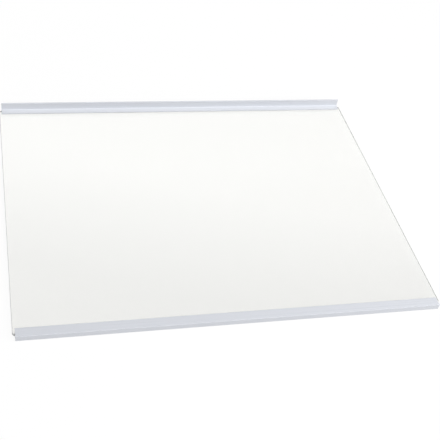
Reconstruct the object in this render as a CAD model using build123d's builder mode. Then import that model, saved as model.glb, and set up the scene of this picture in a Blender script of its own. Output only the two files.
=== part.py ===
"""Fridge glass shelf: a toughened glass pane with a plastic trim pushed over its front and its rear edge.

Frame: +X to the right, +Y to the rear of the fridge, +Z up, in millimetres. The origin is at the middle of
the shelf's outline, on the plane of the trims' undersides.
"""

import os

from build123d import *

# Glass pane
glass_width = 470.0
glass_depth = 375.0
glass_thickness = 4.0
glass_corner_radius = 3.5
glass_arris = 0.5

# Both trims: extruded sections that grip the pane between an upper and a lower flange
trim_end_margin = 2.8
upper_flange = 1.8
lower_flange = 1.4
edge_clearance = 0.2
lower_lip_radius = 0.5
end_break = 0.3

# Grip barbs on the lower flanges, steep towards the channel's floor, in rows a pitch apart
barb_height = 0.6
barb_base = 1.3
barb_tip = 0.3
barb_pitch = 2.2

# Front trim: crowned flange on the glass and a hollow nose before the glass edge
front_cover = 6.5
front_lower_cover = 5.8
front_barbs = 2
front_lip_radius = 0.8
crown = 0.1
ridge_radius = 0.4
nose_depth = 5.5
nose_rake = 0.6
nose_wall = 1.4
nose_web = 1.4
nose_foot_radius = 1.5
chamber_radius = 0.4

# Rear trim: flange that thins towards its lip, a short lip with one barb under the glass, and an upstand
rear_cover = 7.8
rear_lower_cover = 3.0
rear_barbs = 1
rear_lip_height = 1.0
rear_lip_radius = 0.6
cove_radius = 0.6
upstand_height = 11.1
upstand_thickness = 2.0
heel_radius = 1.0

# Levels above the undersides of the trims
glass_bottom = lower_flange + barb_height
glass_top = glass_bottom + glass_thickness
flange_top = glass_top + upper_flange
upstand_top = glass_top + upstand_height

# Places along the depth, from the nose at the front to the back of the upstand
shelf_depth = nose_depth + glass_depth + edge_clearance + upstand_thickness
nose_front = -shelf_depth / 2
glass_front = nose_front + nose_depth
glass_rear = glass_front + glass_depth
glass_middle = (glass_front + glass_rear) / 2
upstand_front = glass_rear + edge_clearance
upstand_back = upstand_front + upstand_thickness

trim_length = glass_width - 2 * trim_end_margin


def round_corner(section, corner, radius):
    """Round the corner of a section that lies at the given point."""
    fillet(section.vertices().sort_by_distance(corner)[0], radius)


def extrude_trim(section=None, mode=Mode.ADD):
    """Run a section, or the pending one, along the whole trim, half of it to each side."""
    extrude(section, amount=trim_length / 2, both=True, mode=mode)


def glass_channel(floor, barbs):
    """Section of the channel that takes the pane, from its floor towards the middle of the pane.

    It leaves rows of barbs standing on the lower flange. Each has a steep side towards the floor, a flat tip
    that meets the underside of the glass, and a slope towards the mouth that lets the pane slide in.
    """
    inward = 1 if glass_middle > floor else -1
    with BuildSketch(Plane.YZ) as channel:
        with Locations(((floor + glass_middle) / 2, (lower_flange + glass_top) / 2)):
            Rectangle(abs(glass_middle - floor), glass_top - lower_flange)
        for row in range(barbs):
            steep_side = floor + inward * (edge_clearance + barb_base + row * barb_pitch)
            with BuildLine():
                Polyline(
                    (steep_side, lower_flange),
                    (steep_side, glass_bottom),
                    (steep_side + inward * barb_tip, glass_bottom),
                    (steep_side + inward * barb_base, lower_flange),
                    close=True,
                )
            make_face(mode=Mode.SUBTRACT)
    return channel.sketch


# Glass pane: a plate with rounded corners and a ground arris round both faces
with BuildPart() as glass_pane:
    with BuildSketch(Plane.XY.offset(glass_bottom)):
        with Locations((0, glass_middle)):
            RectangleRounded(glass_width, glass_depth, glass_corner_radius)
    extrude(amount=glass_thickness)
    chamfer(glass_pane.faces().filter_by(Axis.Z).edges(), glass_arris)
glass_pane.part.label = "glass_pane"


# Front trim: its outline, then the glass channel and the chamber that keeps the nose's walls even
front_lip = glass_front + front_cover
front_lower_lip = glass_front + front_lower_cover
front_floor = glass_front - edge_clearance


def nose_face(height):
    """Place of the nose's raked face at a height: it leans back towards its foot."""
    return nose_front + nose_rake * (1 - height / flange_top)


with BuildPart() as front_trim:
    with BuildSketch(Plane.YZ) as front_section:
        ridge = (nose_face(flange_top), flange_top)
        nose_foot = (nose_face(0), 0)
        lower_lip = (front_lower_lip, 0)
        upper_lip = (front_lip, flange_top)
        with BuildLine():
            Polyline(
                ridge,
                nose_foot,
                lower_lip,
                (front_lower_lip, glass_bottom),
                (front_lip, glass_top),
                upper_lip,
            )
            SagittaArc(upper_lip, ridge, -crown)
        make_face()
        round_corner(front_section, ridge, ridge_radius)
        round_corner(front_section, nose_foot, nose_foot_radius)
        round_corner(front_section, lower_lip, lower_lip_radius)
        round_corner(front_section, upper_lip, front_lip_radius)
    extrude_trim()
    chamfer(front_trim.faces().filter_by(Axis.X).edges(), end_break)
    extrude_trim(glass_channel(front_floor, front_barbs), Mode.SUBTRACT)
    with BuildSketch(Plane.YZ) as chamber:
        with BuildLine():
            Polyline(
                (nose_face(lower_flange) + nose_wall, lower_flange),
                (front_floor - nose_web, lower_flange),
                (front_floor - nose_web, glass_top),
                (nose_face(glass_top) + nose_wall, glass_top),
                close=True,
            )
        make_face()
        fillet(chamber.vertices(), chamber_radius)
    extrude_trim(mode=Mode.SUBTRACT)
front_trim.part.label = "front_trim"


# Rear trim: a flange with a cove up into the upstand, whose top is nearly a full round
rear_lip = glass_rear - rear_cover
rear_lower_lip = glass_rear - rear_lower_cover
upstand_top_radius = 0.45 * upstand_thickness

with BuildPart() as rear_trim:
    with BuildSketch(Plane.YZ) as rear_section:
        flange_lip = (rear_lip, glass_top + rear_lip_height)
        cove = (upstand_front, flange_top)
        heel = (upstand_back, 0)
        lower_lip = (rear_lower_lip, 0)
        with BuildLine():
            Polyline(
                (rear_lip, glass_top),
                flange_lip,
                cove,
                (upstand_front, upstand_top),
                (upstand_back, upstand_top),
                heel,
                lower_lip,
                (rear_lower_lip, glass_bottom),
                close=True,
            )
        make_face()
        round_corner(rear_section, flange_lip, rear_lip_radius)
        round_corner(rear_section, cove, cove_radius)
        round_corner(rear_section, (upstand_front, upstand_top), upstand_top_radius)
        round_corner(rear_section, (upstand_back, upstand_top), upstand_top_radius)
        round_corner(rear_section, heel, heel_radius)
        round_corner(rear_section, lower_lip, lower_lip_radius)
    extrude_trim()
    chamfer(rear_trim.faces().filter_by(Axis.X).edges(), end_break)
    extrude_trim(glass_channel(upstand_front, rear_barbs), Mode.SUBTRACT)
rear_trim.part.label = "rear_trim"


os.makedirs("parts", exist_ok=True)
for piece in (glass_pane.part, front_trim.part, rear_trim.part):
    export_step(piece, f"parts/{piece.label}.step")
    size = piece.bounding_box().size
    print(f"{piece.label}: {size.X:.1f} x {size.Y:.1f} x {size.Z:.1f} mm, {piece.volume / 1000:.1f} cm3")
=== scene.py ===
# %% [markdown]
# A loose fridge shelf lies on white paper: a clear glass pane with a pale plastic trim pushed over its
# front edge and another, with an upstand, over its rear edge. The pieces could be modelled at any size
# and scaled to fit, but the construction comes from CAD, packed as a frame of three nodes, and everything
# here takes its place from that frame.

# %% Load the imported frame
import math

import bpy
import numpy as np
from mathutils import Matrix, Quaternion, Vector
from mathutils.geometry import tessellate_polygon


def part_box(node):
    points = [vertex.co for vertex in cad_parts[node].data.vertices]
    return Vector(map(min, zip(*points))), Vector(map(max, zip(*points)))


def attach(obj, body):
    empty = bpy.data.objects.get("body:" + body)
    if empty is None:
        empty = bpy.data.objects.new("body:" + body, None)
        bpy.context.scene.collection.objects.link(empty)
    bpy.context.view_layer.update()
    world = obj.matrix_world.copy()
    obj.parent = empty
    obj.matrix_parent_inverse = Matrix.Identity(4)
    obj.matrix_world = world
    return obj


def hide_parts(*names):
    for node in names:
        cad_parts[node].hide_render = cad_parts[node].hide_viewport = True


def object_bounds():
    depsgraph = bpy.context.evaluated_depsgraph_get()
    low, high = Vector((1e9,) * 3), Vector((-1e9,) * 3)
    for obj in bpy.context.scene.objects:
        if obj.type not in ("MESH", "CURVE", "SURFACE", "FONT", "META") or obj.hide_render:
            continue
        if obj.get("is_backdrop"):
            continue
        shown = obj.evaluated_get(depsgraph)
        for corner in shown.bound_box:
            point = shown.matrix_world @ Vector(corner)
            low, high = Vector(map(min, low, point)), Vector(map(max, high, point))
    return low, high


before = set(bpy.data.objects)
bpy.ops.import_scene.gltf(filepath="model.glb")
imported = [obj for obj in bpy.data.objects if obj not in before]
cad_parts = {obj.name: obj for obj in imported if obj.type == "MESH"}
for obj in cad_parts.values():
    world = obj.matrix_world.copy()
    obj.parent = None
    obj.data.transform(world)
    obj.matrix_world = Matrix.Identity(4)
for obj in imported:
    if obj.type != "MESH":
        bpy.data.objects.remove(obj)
cad_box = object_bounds()

MM = 0.001


def node_box(node):
    """Lowest and highest corner of a CAD node, in millimetres."""
    return [np.array(corner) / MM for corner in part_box(node)]


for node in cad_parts:
    low, high = node_box(node)
    print(node, "from", low.round(2), "to", high.round(2), "mm")

# %% [markdown]
# The photograph was taken from the front left, a little over a metre away, and the camera was tilted
# about its own line of sight. Place, aim, roll and focal length were solved together from the straight
# edges of the trims and the pane. A camera could be turned with Euler angles, but a place, an aim point
# on the glass and a roll are easier to read and to correct, so the rotation is worked out from those.

# %% Camera
CAMERA_PLACE = (-245.0, -760.7, 697.1)
CAMERA_AIM = (11.6, -35.0, 6.0)
CAMERA_ROLL = math.radians(10.67)
CAMERA_LENS = 71.37
CAMERA_NEAR = 10.0
CAMERA_FAR = 100000.0

scene = bpy.context.scene
camera = bpy.data.objects.new("camera", bpy.data.cameras.new("camera"))
scene.collection.objects.link(camera)
camera.data.lens = CAMERA_LENS
camera.data.clip_start = CAMERA_NEAR * MM
camera.data.clip_end = CAMERA_FAR * MM
line_of_sight = Vector(CAMERA_AIM) - Vector(CAMERA_PLACE)
camera.location = Vector(CAMERA_PLACE) * MM
camera.rotation_mode = "QUATERNION"
camera.rotation_quaternion = line_of_sight.to_track_quat("-Z", "Y") @ Quaternion((0, 0, 1), CAMERA_ROLL)
scene.camera = camera
print("camera", round(line_of_sight.length), "mm from its aim point")

# %% [markdown]
# Three helpers serve every finish below. Colours are written as the sRGB hex values that a colour picker
# shows, while Blender's sockets expect linear light, so one function converts them. Node trees could be
# clicked together in the shader editor, but then nobody could read them here. So one function adds a
# node, sets it up and wires it, which keeps each material to a short list of nodes, and one empties a new
# tree of the nodes that Blender puts there by itself.

# %% Helpers for colours and nodes
def linear(hex_colour):
    """Linear RGBA of an sRGB hex colour: below 0.04045 a straight line, above it a power of 2.4."""
    srgb = np.array([int(hex_colour[i:i + 2], 16) for i in (1, 3, 5)]) / 255
    rgb = np.where(srgb <= 0.04045, srgb / 12.92, ((srgb + 0.055) / 1.055) ** 2.4)
    return (*rgb.tolist(), 1.0)


def add_node(tree, kind, inputs, **settings):
    """Add a node with its settings. An input is a value, or the socket that feeds it."""
    made = tree.nodes.new(kind)
    for name, value in settings.items():
        setattr(made, name, value)
    for name, value in inputs.items():
        if isinstance(value, bpy.types.NodeSocket):
            tree.links.new(value, made.inputs[name])
        else:
            made.inputs[name].default_value = value
    return made


def empty_tree(owner):
    """Node tree of a material or world, with nothing in it."""
    owner.use_nodes = True
    owner.node_tree.nodes.clear()
    return owner.node_tree


print("sRGB #808080 is", round(linear("#808080")[0], 3), "of full light")

# %% [markdown]
# A soft ceiling light hangs high up in front of the shelf and runs along it. It shades the trims: light
# on their tops, darker on the nose and the upstand. It could be a long area lamp, but the edges of a lamp
# are sharp, and the glass would mirror them. So it is painted into the world by direction alone and fades
# out on both sides. The angle about the X axis, from the rear horizon up and over to the front one, tells
# how far a direction points away from the middle of the light.

# %% Ceiling light
CEILING_LIGHT = 1.47
CEILING_ANGLE = math.radians(121.5)
CEILING_SPREAD = math.radians(69)

world = bpy.data.worlds.new("ceiling light and panel")
scene.world = world
tree = empty_tree(world)
direction = add_node(tree, "ShaderNodeTexCoord", {}).outputs["Generated"]
along = add_node(tree, "ShaderNodeSeparateXYZ", {"Vector": direction}).outputs
angle = add_node(tree, "ShaderNodeMath", {0: along["Z"], 1: along["Y"]}, operation="ARCTAN2").outputs[0]
away = add_node(tree, "ShaderNodeMath", {0: angle, 1: CEILING_ANGLE}, operation="SUBTRACT").outputs[0]
away = add_node(tree, "ShaderNodeMath", {0: away}, operation="ABSOLUTE").outputs[0]
ceiling = add_node(tree, "ShaderNodeMapRange", {
    "Value": away, "From Max": CEILING_SPREAD, "To Min": CEILING_LIGHT, "To Max": 0.0},
    interpolation_type="SMOOTHSTEP").outputs["Result"]
print("ceiling light of", CEILING_LIGHT, "at", round(math.degrees(CEILING_ANGLE), 1), "degrees")

# %% [markdown]
# A white panel stands upright behind the shelf, and the clean glass mirrors it. Its light fades out
# towards its top edge, which slopes a little, so the rear of the pane has a sheen that the front has not.
# It is painted into the world for the same reason as the ceiling light: the angle tells whether a
# direction passes above the panel, and x whether it passes beside it. The camera sees neither of the two
# lights, but plain white.

# %% Panel and backdrop
PANEL_LIGHT = 0.65
PANEL_FADE_FROM = math.radians(41.4)
PANEL_FADE_TO = math.radians(49)
# These three are measured on the x of a direction of length 1.
PANEL_MIDDLE = 0.22
PANEL_HALF_WIDTH = 0.33
PANEL_SIDE_FADE = 0.3
# Rise of the top edge to the right, in radians for each unit of that x.
PANEL_SLOPE = 0.3
BACKDROP_LIGHT = 1.0

aside = add_node(tree, "ShaderNodeMath", {0: along["X"], 1: PANEL_MIDDLE}, operation="SUBTRACT").outputs[0]
beside = add_node(tree, "ShaderNodeMath", {0: aside}, operation="ABSOLUTE").outputs[0]
across = add_node(tree, "ShaderNodeMapRange", {
    "Value": beside, "From Min": PANEL_HALF_WIDTH, "From Max": PANEL_HALF_WIDTH + PANEL_SIDE_FADE,
    "To Min": PANEL_LIGHT, "To Max": 0.0}, interpolation_type="SMOOTHSTEP").outputs["Result"]
sloped = add_node(tree, "ShaderNodeMath", {
    0: aside, 1: -PANEL_SLOPE, 2: angle}, operation="MULTIPLY_ADD").outputs[0]
upright = add_node(tree, "ShaderNodeMapRange", {
    "Value": sloped, "From Min": PANEL_FADE_FROM, "From Max": PANEL_FADE_TO,
    "To Min": 1.0, "To Max": 0.0}).outputs["Result"]
light = add_node(tree, "ShaderNodeMath", {
    0: across, 1: upright, 2: ceiling}, operation="MULTIPLY_ADD").outputs[0]
to_camera = add_node(tree, "ShaderNodeLightPath", {}).outputs["Is Camera Ray"]
strength = add_node(tree, "ShaderNodeMix", {0: to_camera, 2: light, 3: BACKDROP_LIGHT}).outputs[0]
background = add_node(tree, "ShaderNodeBackground", {"Color": linear("#FFFFFF"), "Strength": strength})
add_node(tree, "ShaderNodeOutputWorld", {"Surface": background.outputs["Background"]})
scene.view_settings.view_transform = "Standard"
print("panel of", PANEL_LIGHT, "below", round(math.degrees(PANEL_FADE_FROM), 1), "degrees")

# %% [markdown]
# Three softboxes stand round the shelf. One on the right is near enough for its light to fall off along
# the shelf, so the trims are lighter at their right ends. One overhead lifts the tops of the trims, and a
# low one behind lights the back of the upstand, which the ceiling light cannot reach. They are lamps and
# not part of the world, because a world light would be the same at both ends of the shelf. None of them
# shows to the camera, nor as a white patch in the glass.

# %% Softboxes
# Each has its place in millimetres and its power in watts.
SOFTBOXES = {
    "right softbox": ((950.0, -550.0, 450.0), 4.5),
    "overhead softbox": ((100.0, -500.0, 1200.0), 1.7),
    "rear softbox": ((0.0, 1200.0, 200.0), 2.0),
}
SOFTBOX_SIZE = 600.0

for name, (place, power) in SOFTBOXES.items():
    softbox = bpy.data.objects.new(name, bpy.data.lights.new(name, "AREA"))
    scene.collection.objects.link(softbox)
    softbox.data.size = SOFTBOX_SIZE * MM
    softbox.data.energy = power
    softbox.location = Vector(place) * MM
    softbox.rotation_mode = "QUATERNION"
    softbox.rotation_quaternion = Vector(place).to_track_quat("Z", "Y")
    softbox.visible_camera = False
    softbox.visible_glossy = False
    softbox.visible_transmission = False
    print(name, round(Vector(place).length), "mm away")

# %% [markdown]
# The shelf lies on a matte sheet. White paper would need more light than the trims can take before it
# came out pure white, and the shadows of the trims would stand dark under the glass. So the sheet is grey
# and adds a glow of its own, as a light table does: light painted into its material, though it is no lamp.
# The camera sees it almost white. The glass shows it greyer, and less so towards the rear, where the
# painted glow is brighter. The trims get only as much as white paper would throw back at them, as painted
# bounce light. The shadow of the shelf stays in the grey part. Light that crosses the glass on its way
# from a trim or from the sheet does not see the glow (Diffuse Depth), or the sheet would light itself.

# %% Paper
# To the eye: an even matte white without grain or sheen, with a faint soft shadow close to the shelf.
PAPER_COLOUR = "#636363"
PAPER_GLOW = 0.885
# Painted bounce light: the glow that lights the trims as white paper would.
PAPER_BOUNCE = 0.47
GLOW_IN_GLASS_FRONT = 0.871
GLOW_IN_GLASS_REAR = 0.957
# The painted glow in the glass rises between these two places along the depth.
GLOW_RISES_FROM = -160.0
GLOW_RISES_TO = 70.0

paper = bpy.data.materials.new("grey paper with painted glow")
tree = empty_tree(paper)
rays = add_node(tree, "ShaderNodeLightPath", {}).outputs
in_glass = add_node(tree, "ShaderNodeMath", {
    0: rays["Is Glossy Ray"], 1: rays["Is Transmission Ray"]}, operation="MAXIMUM").outputs[0]
direct = add_node(tree, "ShaderNodeMath", {
    0: rays["Diffuse Depth"], 1: 1.0}, operation="LESS_THAN").outputs[0]
in_glass = add_node(tree, "ShaderNodeMath", {0: in_glass, 1: direct}, operation="MULTIPLY").outputs[0]
place = add_node(tree, "ShaderNodeTexCoord", {}).outputs["Object"]
towards_rear = add_node(tree, "ShaderNodeSeparateXYZ", {"Vector": place}).outputs["Y"]
# Painted light: the glow that the glass shows brightens towards the rear.
glow_in_glass = add_node(tree, "ShaderNodeMapRange", {
    "Value": towards_rear, "From Min": GLOW_RISES_FROM * MM, "From Max": GLOW_RISES_TO * MM,
    "To Min": GLOW_IN_GLASS_FRONT, "To Max": GLOW_IN_GLASS_REAR}).outputs["Result"]
glow = add_node(tree, "ShaderNodeMath", {
    0: rays["Is Camera Ray"], 1: PAPER_GLOW}, operation="MULTIPLY").outputs[0]
# Painted light: the glow seen in the glass, and painted bounce light on the trims.
for seen_by, strength in ((in_glass, glow_in_glass), (rays["Is Diffuse Ray"], PAPER_BOUNCE)):
    glow = add_node(tree, "ShaderNodeMath", {
        0: seen_by, 1: strength, 2: glow}, operation="MULTIPLY_ADD").outputs[0]
sheet = add_node(tree, "ShaderNodeBsdfPrincipled", {
    "Base Color": linear(PAPER_COLOUR), "Roughness": 1.0, "Specular IOR Level": 0.0,
    "Emission Color": linear("#FFFFFF"), "Emission Strength": glow})
add_node(tree, "ShaderNodeOutputMaterial", {"Surface": sheet.outputs["BSDF"]})
paper.cycles.emission_sampling = "NONE"
print("paper:", paper.name)

# %% [markdown]
# The sheet reaches so far that its edge is lost in the white of the backdrop. A curved sweep would hide
# the edge nearer by, but would show as a step in the glass. It lies a hair below the trims, because a
# floor that touched them would flicker where both surfaces coincide.

# %% Paper floor
PAPER_SIZE = 40000.0
PAPER_DROP = 0.05

corners = np.array([(-0.5, -0.5, 0), (0.5, -0.5, 0), (0.5, 0.5, 0), (-0.5, 0.5, 0)]) * PAPER_SIZE
corners[:, 2] = -PAPER_DROP
floor_mesh = bpy.data.meshes.new("paper_floor")
floor_mesh.from_pydata((corners * MM).tolist(), [], [(0, 1, 2, 3)])
floor_mesh.materials.append(paper)
floor = bpy.data.objects.new("paper_floor", floor_mesh)
scene.collection.objects.link(floor)
floor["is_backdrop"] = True
print("paper", PAPER_SIZE / 1000, "m square,", PAPER_DROP, "mm under the trims")

# %% [markdown]
# Light that is caught in a pane meets its faces dozens of times before it leaves by an edge. With
# Blender's usual limits such paths end early, and the edges come out black. More light would not help
# them, so the limits are raised. Cycles would also blur clear glass for light on its way to the paper,
# which darkens the paper, so that is switched off.

# %% Paths of light
LONGEST_PATH = 64

scene.cycles.blur_glossy = 0.0
scene.cycles.max_bounces = LONGEST_PATH
scene.cycles.glossy_bounces = LONGEST_PATH
scene.cycles.transmission_bounces = LONGEST_PATH
print("light may bounce", LONGEST_PATH, "times")

# %% [markdown]
# The pane is 4 mm float glass. Its large faces are as smooth as the liquid tin they floated on, and the
# rollers of the toughening oven leave long shallow waves in them. The cut edges are ground with a diamond
# belt, which leaves fine lines along them. Both could be modelled, but they are a few hundredths of a
# millimetre high, so a bump draws them. The mesh carries an attribute that marks the ground edges, and it
# chooses between waves and lines.

# %% Relief of the glass
ROLLER_WAVE = 150.0
ROLLER_WAVE_LENGTH = 750.0
# Real grinding lines are about 0.05 mm apart, too fine to show, so they are drawn coarser.
GRINDING_LINE = 0.4
GRINDING_LINE_LENGTH = 50.0
GLASS_RELIEF = 0.02
EDGE_ROUGHNESS = (0.04, 0.1)
# A noise seldom leaves the range between these two values.
NOISE_LOW = 0.3
NOISE_HIGH = 0.7

glass = bpy.data.materials.new("toughened float glass with ground edges")
tree = empty_tree(glass)
place = add_node(tree, "ShaderNodeTexCoord", {}).outputs["Object"]
ground = add_node(tree, "ShaderNodeAttribute", {}, attribute_name="ground_edge").outputs["Fac"]
wave_place = add_node(tree, "ShaderNodeMapping", {
    "Vector": place, "Scale": (1 / MM / ROLLER_WAVE_LENGTH, 1 / MM / ROLLER_WAVE, 0.0)}).outputs["Vector"]
wave = add_node(tree, "ShaderNodeTexNoise", {
    "Vector": wave_place, "Scale": 1.0, "Detail": 0.0}).outputs[0]
lengthwise = 1 / MM / GRINDING_LINE_LENGTH
line_place = add_node(tree, "ShaderNodeMapping", {
    "Vector": place, "Scale": (lengthwise, lengthwise, 1 / MM / GRINDING_LINE)}).outputs["Vector"]
line = add_node(tree, "ShaderNodeTexNoise", {
    "Vector": line_place, "Scale": 1.0, "Detail": 2.0}).outputs[0]
edge_rough = add_node(tree, "ShaderNodeMapRange", {
    "Value": line, "From Min": NOISE_LOW, "From Max": NOISE_HIGH,
    "To Min": EDGE_ROUGHNESS[0], "To Max": EDGE_ROUGHNESS[1]}).outputs["Result"]
rough = add_node(tree, "ShaderNodeMath", {0: ground, 1: edge_rough}, operation="MULTIPLY").outputs["Value"]
relief = add_node(tree, "ShaderNodeMix", {0: ground, 2: wave, 3: line}).outputs[0]
bump = add_node(tree, "ShaderNodeBump", {"Height": relief, "Strength": 1.0, "Distance": GLASS_RELIEF * MM})
print("glass waves", ROLLER_WAVE, "mm apart, ground lines", GRINDING_LINE, "mm")

# %% [markdown]
# From outside the ground edges look pale and matte, while light inside the pane still glances off them,
# so the Backfacing output tells the two sides apart. Iron in the melt swallows a little light, which
# shows only where it travels far inside the glass. Tinting the surfaces would colour the whole pane
# alike, so they get a mere breath of yellow, and the tint is a Volume Absorption, which grows with the
# length of the path. One material serves faces and edges, because light that enters by one and leaves by
# the other has to end the same volume.

# %% Glass
# To the eye: faces that mirror cleanly and hardly show themselves, edges that are a pale grey-green line.
GLASS_IOR = 1.52
FACE_COLOUR = "#FFFFFD"
EDGE_COLOUR = "#DEDEDE"
EDGE_CLARITY = 0.25
IRON_COLOUR = "#BCC5B8"
IRON_DENSITY = 5.0

inside = add_node(tree, "ShaderNodeNewGeometry", {}).outputs["Backfacing"]
skin = add_node(tree, "ShaderNodeMapRange", {
    "Value": inside, "To Min": ground, "To Max": 0.0}).outputs["Result"]
powder = add_node(tree, "ShaderNodeMix", {
    0: skin, 6: linear(FACE_COLOUR), 7: linear(EDGE_COLOUR)}, data_type="RGBA").outputs[2]
clarity = add_node(tree, "ShaderNodeMapRange", {
    "Value": skin, "To Min": 1.0, "To Max": EDGE_CLARITY}).outputs["Result"]
clear = add_node(tree, "ShaderNodeBsdfPrincipled", {
    "Base Color": powder, "Roughness": rough, "IOR": GLASS_IOR, "Transmission Weight": clarity,
    "Normal": bump.outputs["Normal"]})
iron = add_node(tree, "ShaderNodeVolumeAbsorption", {
    "Color": linear(IRON_COLOUR), "Density": IRON_DENSITY})
add_node(tree, "ShaderNodeOutputMaterial", {
    "Surface": clear.outputs["BSDF"], "Volume": iron.outputs["Volume"]})
print("glass:", glass.name)

# %% [markdown]
# Both trims are extruded ABS, coloured a cool lilac white. Melt drawn through a polished die comes out
# with a satin gloss, faint die lines along its whole length and slow changes of shade where the pigment
# was not quite even. A noise stretched along the length draws the lines, in gloss and in relief, and a
# wide one mixes two shades. Image textures would need the mesh unwrapped. Object coordinates need
# nothing, and the lines run straight through the whole trim whatever the mesh.

# %% Trim plastic
# To the eye: a soft sheen drawn out along the trim, on a cool white that is never quite even.
# Real die lines are about 0.2 mm apart, too fine to show, so they are drawn coarser.
DIE_LINE = 1.5
DIE_LINE_LENGTH = 250.0
DIE_RELIEF = 0.01
SHADE_LENGTH = 120.0
LILAC_WHITE = "#DADDE4"
LIGHTER_LILAC = "#DFE2E8"
SATIN_ROUGHNESS = (0.25, 0.36)
ABS_IOR = 1.53

plastic = bpy.data.materials.new("extruded satin ABS")
tree = empty_tree(plastic)
place = add_node(tree, "ShaderNodeTexCoord", {}).outputs["Object"]
crosswise = 1 / MM / DIE_LINE
die_place = add_node(tree, "ShaderNodeMapping", {
    "Vector": place, "Scale": (1 / MM / DIE_LINE_LENGTH, crosswise, crosswise)}).outputs["Vector"]
die = add_node(tree, "ShaderNodeTexNoise", {"Vector": die_place, "Scale": 1.0, "Detail": 3.0}).outputs[0]
shade = add_node(tree, "ShaderNodeTexNoise", {"Vector": place, "Scale": 1 / MM / SHADE_LENGTH}).outputs[0]
pigment = add_node(tree, "ShaderNodeMix", {
    0: shade, 6: linear(LILAC_WHITE), 7: linear(LIGHTER_LILAC)}, data_type="RGBA").outputs[2]
rough = add_node(tree, "ShaderNodeMapRange", {
    "Value": die, "From Min": NOISE_LOW, "From Max": NOISE_HIGH,
    "To Min": SATIN_ROUGHNESS[0], "To Max": SATIN_ROUGHNESS[1]}).outputs["Result"]
bump = add_node(tree, "ShaderNodeBump", {"Height": die, "Strength": 1.0, "Distance": DIE_RELIEF * MM})
satin = add_node(tree, "ShaderNodeBsdfPrincipled", {
    "Base Color": pigment, "Roughness": rough, "IOR": ABS_IOR, "Normal": bump.outputs["Normal"]})
add_node(tree, "ShaderNodeOutputMaterial", {"Surface": satin.outputs["BSDF"]})
print("trim plastic:", plastic.name)

# %% [markdown]
# A trim is cut to length with a circular saw, and its ends are left as the blade leaves them: matte, a
# little paler where the plastic was stressed, with tooth marks across. The marks could be cut into the
# mesh, but they are shallower than a hair, so a distorted wave gives them to the shade and the relief
# alone.

# %% Sawn plastic
# To the eye: matte ends, a shade paler than the sides, which catch no highlight.
# A fine blade leaves marks about 0.1 mm apart, too fine to show, so they are drawn coarser.
TOOTH_MARK = 0.7
TOOTH_ANGLE = math.radians(25)
TOOTH_RELIEF = 0.03
TOOTH_WANDER = 1.5
STRESSED_LILAC = "#E4E6EB"
SAWN_ROUGHNESS = 0.6
# A wave texture of scale 1 repeats after this many units.
WAVE_PERIOD = 0.314

sawn = bpy.data.materials.new("sawn ABS")
tree = empty_tree(sawn)
place = add_node(tree, "ShaderNodeTexCoord", {}).outputs["Object"]
tooth_place = add_node(tree, "ShaderNodeMapping", {
    "Vector": place, "Rotation": (TOOTH_ANGLE, 0, 0), "Scale": (1 / MM,) * 3}).outputs["Vector"]
tooth = add_node(tree, "ShaderNodeTexWave", {
    "Vector": tooth_place, "Scale": WAVE_PERIOD / TOOTH_MARK, "Distortion": TOOTH_WANDER, "Detail": 2.0},
    bands_direction="Y").outputs["Fac"]
pale = add_node(tree, "ShaderNodeMix", {
    0: tooth, 6: linear(LILAC_WHITE), 7: linear(STRESSED_LILAC)}, data_type="RGBA").outputs[2]
bump = add_node(tree, "ShaderNodeBump", {"Height": tooth, "Strength": 1.0, "Distance": TOOTH_RELIEF * MM})
matte = add_node(tree, "ShaderNodeBsdfPrincipled", {
    "Base Color": pale, "Roughness": SAWN_ROUGHNESS, "IOR": ABS_IOR, "Normal": bump.outputs["Normal"]})
add_node(tree, "ShaderNodeOutputMaterial", {"Surface": matte.outputs["BSDF"]})
print("sawn ends:", sawn.name)

# %% [markdown]
# Every outline on this shelf is a run of straight sides whose corners are rounded: the section of each
# trim, the pane seen from above, and the pane's ground edge. One function rounds them all. Bevel
# modifiers could round the finished solids, but they treat every edge alike, while a die or a grinding
# belt gives each corner its own radius.

# %% Rounded outlines
# Keeps the divisions at a straight corner from being by zero.
TINY = 1e-9
# Points that are nearer to each other than this, in millimetres, are one.
REPEAT = 1e-4
ARC_STEPS = 9


def rounded(corners, steps=ARC_STEPS):
    """Arcs for a closed outline of (a, b, radius) corners, as an array of corners by steps by 2.

    The arc at a corner touches both its sides at radius / tan(half angle) from it. Its centre lies on the
    bisector at radius / sin(half angle), and its points turn evenly from one touch to the other.
    """
    corners = np.array(corners, float)
    corner, radius = corners[:, :2], corners[:, 2:]
    before = np.roll(corner, 1, axis=0) - corner
    after = np.roll(corner, -1, axis=0) - corner
    before /= np.linalg.norm(before, axis=1, keepdims=True)
    after /= np.linalg.norm(after, axis=1, keepdims=True)
    opening = np.arccos(np.clip((before * after).sum(1, keepdims=True), -1, 1))
    bisector = before + after
    bisector /= np.maximum(np.linalg.norm(bisector, axis=1, keepdims=True), TINY)
    centre = corner + bisector * radius / np.sin(opening / 2)
    first = corner + before * radius / np.tan(opening / 2) - centre
    last = corner + after * radius / np.tan(opening / 2) - centre
    turn = np.maximum(math.pi - opening, TINY)[:, None]
    step = np.linspace(0, 1, steps)[None, :, None]
    spoke = np.sin((1 - step) * turn) * first[:, None] + np.sin(step * turn) * last[:, None]
    return centre[:, None] + spoke / np.sin(turn)


def closed_line(arcs):
    """The arcs joined to one line of points, without the repeats that corners of no radius leave."""
    line = arcs.reshape(-1, 2)
    return line[np.linalg.norm(line - np.roll(line, 1, axis=0), axis=1) > REPEAT]


print("a rounded triangle has", len(closed_line(rounded([(0, 0, 1), (9, 0, 1), (0, 9, 1)]))), "points")

# %% [markdown]
# The pane's edge and the sides of a trim are both grids: a closed line, repeated as ring after ring.
# Blender's Bridge Edge Loops would put faces between two rings, and its normals would come from those
# faces. In a grid both follow from counting: a face joins four neighbours in two rings, and the normal at
# a point comes from the points on either side of it. So two short functions give them for every grid
# below.

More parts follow.
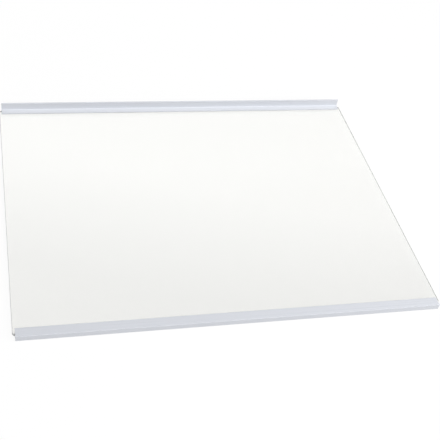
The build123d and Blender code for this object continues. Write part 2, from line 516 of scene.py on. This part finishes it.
# %% Normals and faces of a grid
def outward(line):
    """Unit normals of an anticlockwise line: the way from neighbour to neighbour, turned to the right."""
    along = np.roll(line, -1, axis=0) - np.roll(line, 1, axis=0)
    normal = np.stack([along[:, 1], -along[:, 0]], axis=1)
    return normal / np.linalg.norm(normal, axis=1, keepdims=True)


def ring_faces(rings, points, start=0):
    """Quads between neighbouring rings of points, counted ring by ring from start."""
    ring, point = np.mgrid[:rings - 1, :points]
    following = (point + 1) % points
    corners = (ring * points + point, ring * points + following,
               (ring + 1) * points + following, (ring + 1) * points + point)
    return np.stack(corners, axis=-1).reshape(-1, 4) + start


print("three rings of four points have", len(ring_faces(3, 4)), "faces")

# %% [markdown]
# A mesh of flat faces looks rounded only if its shading normals are. Blender can average them from the
# faces, which tilts them on a wide flat face beside a small radius. The lines that these pieces follow
# also give a normal at every point, which stays square to a wide flat side, so the normals are written
# into the mesh with the points, and faces that are truly flat get their own.

# %% New pieces
def new_piece(name, node, places, normals, rims, flats, finishes):
    """Mesh object from points in millimetres, in place of a CAD node.

    Rims are rounded faces with the first finish, which shade with the points' normals. Flats are faces with
    the last finish, which shade with their own.
    """
    faces = [*rims.tolist(), *flats]
    mesh = bpy.data.meshes.new(name)
    mesh.from_pydata((places * MM).tolist(), [], faces)
    for finish in finishes:
        mesh.materials.append(finish)
    is_flat = np.arange(len(faces)) >= len(rims)
    mesh.polygons.foreach_set("material_index", is_flat * (len(finishes) - 1))
    mesh.polygons.foreach_set("use_smooth", np.ones(len(faces), bool))
    facing = np.empty(len(faces) * 3)
    mesh.polygons.foreach_get("normal", facing)
    face = np.repeat(np.arange(len(faces)), [len(corners) for corners in faces])
    point = np.concatenate(faces)
    shading = np.where(is_flat[face, None], facing.reshape(-1, 3)[face], normals[point])
    mesh.normals_split_custom_set(shading)
    piece = bpy.data.objects.new(name, mesh)
    scene.collection.objects.link(piece)
    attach(piece, "root")
    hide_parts(node)
    print(name, len(faces), "faces from", places.min(0).round(2), "to", places.max(0).round(2), "mm")
    return piece


# %% [markdown]
# The pane is a plate with rounded corners. Its edge is ground flat, with a narrow arris above and below
# so that nobody is cut. A cube with two Bevels would give the plate, but not an edge that can be told
# from the faces. So it is drawn the way glass is ordered: as an outline seen from above and a profile of
# the edge. The profile's first number says how far a point lies outside the outline, its second how high.

# %% Outline and edge of the pane
CORNER_RADIUS = 3.5
CORNER_STEPS = 13
ARRIS = 0.5
ARRIS_EASE = 0.15
ARRIS_STEPS = 5
# The profile starts and ends on the large faces, this far from the edge. Those two points are left out.
FACE_INWARD = -9.0

(glass_left, glass_front, glass_bottom), (glass_right, glass_rear, glass_top) = node_box("glass_pane")
outline = closed_line(rounded([
    (glass_left, glass_front, CORNER_RADIUS),
    (glass_right, glass_front, CORNER_RADIUS),
    (glass_right, glass_rear, CORNER_RADIUS),
    (glass_left, glass_rear, CORNER_RADIUS)], CORNER_STEPS))
profile = rounded([
    (FACE_INWARD, glass_bottom, 0),
    (-ARRIS, glass_bottom, ARRIS_EASE),
    (0, glass_bottom + ARRIS, ARRIS_EASE),
    (0, glass_top - ARRIS, ARRIS_EASE),
    (-ARRIS, glass_top, ARRIS_EASE),
    (FACE_INWARD, glass_top, 0)], ARRIS_STEPS)[1:-1].reshape(-1, 2)
tilt = outward(np.vstack([(FACE_INWARD, glass_bottom), profile, (FACE_INWARD, glass_top)]))[1:-1]
print("pane outline of", len(outline), "points, edge profile of", len(profile))

# %% [markdown]
# The ground edge runs all the way round the pane. A curve with a bevel object would carry the profile
# round as well, but the large faces would then have to be joined on. So the edge is a grid, with the
# profile as one parameter and the outline as the other: a point lies on the outline, moved along the
# outline's normal as far as the profile says. The first and the last ring are the borders of the two large
# faces, which close it. An attribute tells the finish which faces are ground.

# %% Glass pane
def round_the_pane(across, up):
    """Grid of profile by outline: across goes along the outline's normal, up along Z."""
    aside = across[:, None, None] * outward(outline)[None]
    return np.concatenate([aside, np.broadcast_to(up[:, None, None], (*aside.shape[:2], 1))], axis=2)


rings = round_the_pane(profile[:, 0], profile[:, 1]) + np.pad(outline, ((0, 0), (0, 1)))[None]
places = rings.reshape(-1, 3)
normals = round_the_pane(tilt[:, 0], tilt[:, 1]).reshape(-1, 3)
underside = np.arange(len(outline))
top = underside + len(places) - len(outline)
large_faces = [underside[::-1].tolist(), top.tolist()]
pane = new_piece("pane", "glass_pane", places, normals,
                 ring_faces(*rings.shape[:2]), large_faces, [glass])
is_edge = np.arange(len(pane.data.polygons)) < len(pane.data.polygons) - len(large_faces)
ground_edge = pane.data.attributes.new("ground_edge", "FLOAT", "FACE")
ground_edge.data.foreach_set("value", is_edge.astype(np.float32))

# %% [markdown]
# A trim is one section carried along the length of the shelf. Its outer edges are broken at the sawn
# ends, so towards each end the outline shrinks along its normals in a small quarter round, while the
# channel that takes the glass keeps its size. A curve with a bevel profile would sweep the section as
# well, but it cannot tell the channel from the outside.

# %% Trim sweep
END_BREAK = 0.3
BREAK_RINGS = 5


def sweep(line, end, breaks):
    """Places and normals of a closed line carried along X from -end to end, each as rings by points by 3.

    A point is (x, line - inset * normal). Both x and the inset follow a quarter circle of END_BREAK at each
    end. Points that do not break keep an inset of zero.
    """
    turn = np.linspace(0, math.pi / 2, BREAK_RINGS)
    turn = np.concatenate([turn, turn[::-1]])
    side = np.repeat([-1, 1], BREAK_RINGS)
    x = side * (end - END_BREAK * (1 - np.cos(turn)))
    inset = END_BREAK * (1 - np.sin(turn))[:, None] * breaks
    shrunk = line - inset[:, :, None] * outward(line)
    lengthwise = np.where(breaks, (side * np.cos(turn))[:, None], 0)
    outwards = np.where(breaks, np.sin(turn)[:, None], 1)[:, :, None] * outward(line)
    places = np.dstack([np.broadcast_to(x[:, None], inset.shape), shrunk])
    return places, np.dstack([lengthwise, outwards])


print("trim ends broken by", END_BREAK, "mm in", BREAK_RINGS, "rings")

# %% [markdown]
# The saw leaves a flat face of the section's own shape at each end, and where the section has a chamber,
# that stays open. One face with many corners could close an end, but a face cannot have a hole in it. So
# the outline is cut into triangles that leave the chamber out, once, because both ends have the same
# shape: the right end takes the triangles as they are, and the left end takes them turned round.

# %% Whole trim
def lid(rings):
    """Triangles that close an end, seen from +X: the first ring, with any other rings as holes in it."""
    triangles = np.array(tessellate_polygon(rings))
    a, b, c = np.concatenate(rings)[triangles.T, 1:]
    clockwise = np.linalg.det(np.stack([b - a, c - a], axis=1)) < 0
    triangles[clockwise] = triangles[clockwise, ::-1]
    return triangles


def sweep_trim(name, node, section, unbroken, chambers=()):
    """Carry a section along X and close its sawn ends. Unbroken points and chambers keep their place."""
    end = node_box(node)[1][0]
    lines = [section, *chambers]
    breaks = [~unbroken, *(np.zeros(len(chamber), bool) for chamber in chambers)]
    places, normals = zip(*(sweep(line, end, broken) for line, broken in zip(lines, breaks)))
    starts = np.cumsum([0, *(grid[..., 0].size for grid in places)])
    rims = [ring_faces(*grid.shape[:2], start) for grid, start in zip(places, starts)]
    first = np.concatenate([np.arange(len(line)) + start for line, start in zip(lines, starts)])
    last = np.concatenate([np.arange(-len(line), 0) + stop for line, stop in zip(lines, starts[1:])])
    triangles = lid([grid[-1] for grid in places])
    flats = np.vstack([last[triangles], first[triangles[:, ::-1]]]).tolist()
    new_piece(name, node,
              np.concatenate([grid.reshape(-1, 3) for grid in places]),
              np.concatenate([grid.reshape(-1, 3) for grid in normals]),
              np.concatenate(rims), flats, [plastic, sawn])


triangle = np.array([(0, 0, 0), (0, 9, 0), (0, 0, 9)])
print("a triangle with a hole closes with", len(lid([triangle, triangle / 3 + (0, 1, 1)])), "triangles")

# %% [markdown]
# Both trims grip the glass in the same kind of channel. Its upper side lies on the pane, and on its lower
# side stand barbs, which are steep towards the floor of the channel and slope towards its mouth, so the
# pane slides in and stays. The channel could be cut out of a finished trim with a Boolean, but as corners
# of the section its small barbs come out clean. The real trims touch the glass. Here a hair of air is left
# between them, because Cycles cannot tell which of two coinciding surfaces a ray meets first.

# %% Glass channel
LOWER_FLANGE = 1.4
UPPER_FLANGE = 1.8
EDGE_CLEARANCE = 0.2
BARB_BASE = 1.3
BARB_TIP = 0.3
BARB_PITCH = 2.2
BARB_EASE = 0.08
DIE_EASE = 0.35
AIR = 0.03
HAIR = 1e-3

flange_top = glass_top + UPPER_FLANGE
channel_top = glass_top + AIR
barb_top = glass_bottom - AIR


def channel_corners(floor, inward, barb_count):
    """Corners of the channel: from the top of its floor down, then along the lower flange to its mouth.

    Barbs repeat by BARB_PITCH. Each has a steep side, a flat tip and a slope down to its base.
    """
    steep_side = floor + inward * (EDGE_CLEARANCE + BARB_BASE + BARB_PITCH * np.arange(barb_count))
    barb_y = steep_side[:, None] + inward * np.array([0, 0, BARB_TIP, BARB_BASE])
    barb_z = np.broadcast_to([LOWER_FLANGE, barb_top, barb_top, LOWER_FLANGE], barb_y.shape)
    barbs = np.dstack([barb_y, barb_z, np.full(barb_y.shape, BARB_EASE)]).reshape(-1, 3)
    return [(floor, channel_top, DIE_EASE), (floor, LOWER_FLANGE, DIE_EASE), *barbs]


def in_channel(section, floor, inward):
    """True for the points of a section that lie on the channel's sides, to within a hair."""
    y, z = section.T
    return (inward * (y - floor) > -HAIR) & (z > LOWER_FLANGE - HAIR) & (z < channel_top + HAIR)


channel_height = round(channel_top - LOWER_FLANGE, 2)
print("channel", channel_height, "mm high for glass of", round(glass_top - glass_bottom, 2), "mm")

# %% [markdown]
# The front trim is what hands and dishes meet. A flange lies on the glass with a crown so slight that only
# the light shows it, and a nose in front of the glass edge leans back towards its foot. Both could be
# dragged into place by hand, but a tenth of a millimetre is too little to judge by eye. So these two faces
# come first, as formulas: the nose is a straight line, and the crown is a parabola.

# %% Nose and crown of the front trim
NOSE_DEPTH = 5.5
NOSE_RAKE = 0.6
CROWN = 0.1
CROWN_POINTS = 9

nose_front = glass_front - NOSE_DEPTH
front_lip = node_box("front_trim")[1][1]


def nose_face(z):
    """Y of the nose's face at a height: it leans back in a straight line from the ridge to the foot."""
    return nose_front + NOSE_RAKE * (1 - z / flange_top)


# The crown rises over the flange as a parabola, from the lip at 1 to the ridge at -1.
across = np.linspace(1, -1, CROWN_POINTS + 2)[1:-1]
crown_y = (front_lip + nose_front) / 2 + across * (front_lip - nose_front) / 2
crown = np.column_stack([crown_y, flange_top + CROWN * (1 - across**2), np.zeros(CROWN_POINTS)])
print("front flange", round(front_lip - nose_front, 2), "mm wide, nose", round(flange_top, 2), "mm high")

# %% [markdown]
# The section of the front trim runs anticlockwise, from the ridge down the nose, round the channel and
# back over the crown. A chamber in the nose keeps all walls alike, so that the profile cools evenly. A
# plain bar with bevelled edges would look much the same from above, but not at its open ends.

# %% Front trim
FRONT_LOWER_COVER = 5.8
FRONT_BARBS = 2
RIDGE_RADIUS = 0.4
FOOT_RADIUS = 1.5
LOWER_LIP_RADIUS = 0.5
FRONT_LIP_RADIUS = 0.8
NOSE_WALL = 1.4
CHAMBER_RADIUS = 0.4

front_floor = glass_front - EDGE_CLEARANCE
lower_lip = glass_front + FRONT_LOWER_COVER
section = closed_line(rounded([
    (nose_front, flange_top, RIDGE_RADIUS),
    (nose_face(0), 0, FOOT_RADIUS),
    (lower_lip, 0, LOWER_LIP_RADIUS),
    (lower_lip, LOWER_FLANGE, DIE_EASE),
    *channel_corners(front_floor, 1, FRONT_BARBS)[::-1],
    (front_lip, channel_top, DIE_EASE),
    (front_lip, flange_top, FRONT_LIP_RADIUS),
    *crown]))
chamber_back = front_floor - NOSE_WALL
chamber = closed_line(rounded([
    (nose_face(LOWER_FLANGE) + NOSE_WALL, LOWER_FLANGE, CHAMBER_RADIUS),
    (nose_face(glass_top) + NOSE_WALL, glass_top, CHAMBER_RADIUS),
    (chamber_back, glass_top, CHAMBER_RADIUS),
    (chamber_back, LOWER_FLANGE, CHAMBER_RADIUS)]))
sweep_trim("front_nosing", "front_trim", section, in_channel(section, front_floor, 1), [chamber])

# %% [markdown]
# The rear trim grips the glass with one barb on a short lip. Its flange thins towards the edge that lies
# on the glass. At the back it turns up through a cove into an upstand, which stops food from being pushed
# against the cold rear wall, and whose top is nearly a full round. It could be two bars joined at a right
# angle, but they would lack the cove. It goes through the same sweep as the front trim, so only its
# section is new.

# %% Rear trim
REAR_LOWER_COVER = 3.0
REAR_BARBS = 1
REAR_LIP_HEIGHT = 1.0
REAR_LIP_RADIUS = 0.6
COVE_RADIUS = 0.6
HEEL_RADIUS = 1.0
UPSTAND_THICKNESS = 2.0
UPSTAND_TOP_RADIUS = 0.9

(_, rear_lip, _), (_, upstand_back, upstand_top) = node_box("rear_trim")
upstand_front = upstand_back - UPSTAND_THICKNESS
lower_lip = glass_rear - REAR_LOWER_COVER
section = closed_line(rounded([
    (rear_lip, glass_top + REAR_LIP_HEIGHT, REAR_LIP_RADIUS),
    (rear_lip, channel_top, DIE_EASE),
    *channel_corners(upstand_front, -1, REAR_BARBS),
    (lower_lip, LOWER_FLANGE, DIE_EASE),
    (lower_lip, 0, LOWER_LIP_RADIUS),
    (upstand_back, 0, HEEL_RADIUS),
    (upstand_back, upstand_top, UPSTAND_TOP_RADIUS),
    (upstand_front, upstand_top, UPSTAND_TOP_RADIUS),
    (upstand_front, flange_top, COVE_RADIUS)]))
sweep_trim("rear_upstand", "rear_trim", section, in_channel(section, upstand_front, -1))

# %% [markdown]
# The pieces stand in for CAD nodes, so together they have to fill the same box. Sizes could be read off
# in the sidebar, one object at a time.

# %% Sizes
boxes = {"cad": cad_box, "visual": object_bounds()}
for name, (low, high) in boxes.items():
    print(name, "box in mm: from", (np.array(low) / MM).round(2), "to", (np.array(high) / MM).round(2))
